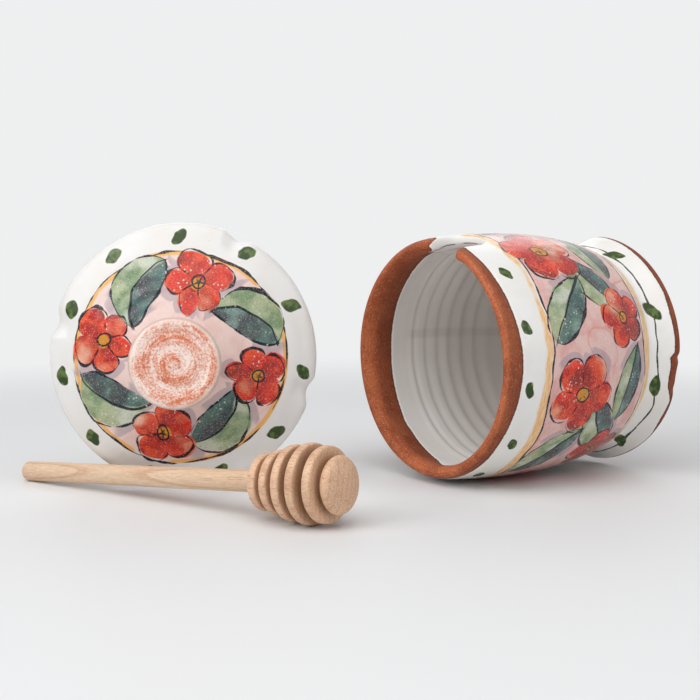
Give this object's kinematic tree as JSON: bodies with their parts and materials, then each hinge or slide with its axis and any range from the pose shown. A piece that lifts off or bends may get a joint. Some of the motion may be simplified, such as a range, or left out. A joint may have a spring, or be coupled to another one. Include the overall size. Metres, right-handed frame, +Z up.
{
  "type": "honey pot",
  "caption": "Thrown earthenware honey pot lying on its side, with a loose domed lid stood on edge and a turned wooden honey dipper in front.",
  "frame": {"origin": "centre of the bottom of the whole set's box, on the surface it stands on", "axes": "+Z up; +X along the row from the lid and the dipper's tail toward the pot; +Y toward the back, away from the open mouth and the lid's knob"},
  "size_m": [0.2728, 0.1822, 0.106],
  "materials": {
    "pot": "glossy painted white glaze over red earthenware, bare at lip and foot",
    "lid": "glossy painted white glaze over red earthenware, bare on the seat and flange",
    "dipper_handle": "fine sanded, unvarnished",
    "dipper_head": "fine turned, unvarnished"
  },
  "bodies": {
    "pot": {"pot": "pot"},
    "lid": {"lid": "lid"},
    "dipper": {"dipper_handle": "dipper_handle", "dipper_head": "dipper_head"}
  },
  "joints": [
    {"name": "lid_lift", "type": "slide", "parent": "pot", "child": "lid", "axis": [0, 0, 1], "range_m": [0, 0.12]},
    {"name": "dipper_lift", "type": "slide", "parent": "pot", "child": "dipper", "axis": [0, -0.6, 0.8], "range_m": [0, 0.14]}
  ]
}
